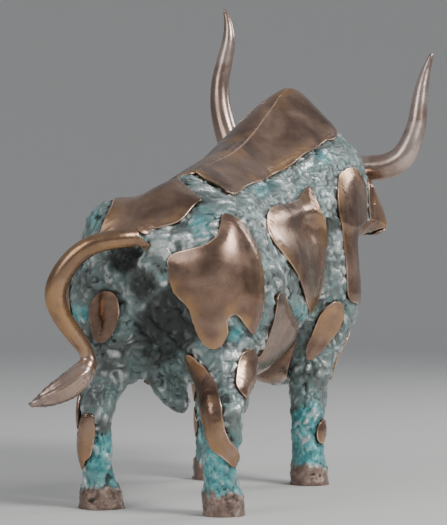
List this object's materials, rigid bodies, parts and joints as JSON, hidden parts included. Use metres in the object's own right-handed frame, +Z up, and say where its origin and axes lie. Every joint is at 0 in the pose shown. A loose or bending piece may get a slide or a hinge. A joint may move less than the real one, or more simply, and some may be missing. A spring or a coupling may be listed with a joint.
{
  "type": "bull sculpture",
  "caption": "Standing bull statuette in cast bronze, with a high hump, upswept horns and a looped tail; smooth brown plates stand proud of rough verdigris channels.",
  "frame": {"origin": "on the floor, under the middle of the figure's box", "axes": "+Z up, -Y the way that the bull faces, -X towards its right side"},
  "size_m": [0.1581, 0.3197, 0.3124],
  "materials": {
    "bronze": "polished brown bronze patina with bright worn edges",
    "verdigris": "rough cast channels with blue-green verdigris over dark metal"
  },
  "bodies": {
    "root": {"bull": "bronze"}
  },
  "joints": []
}
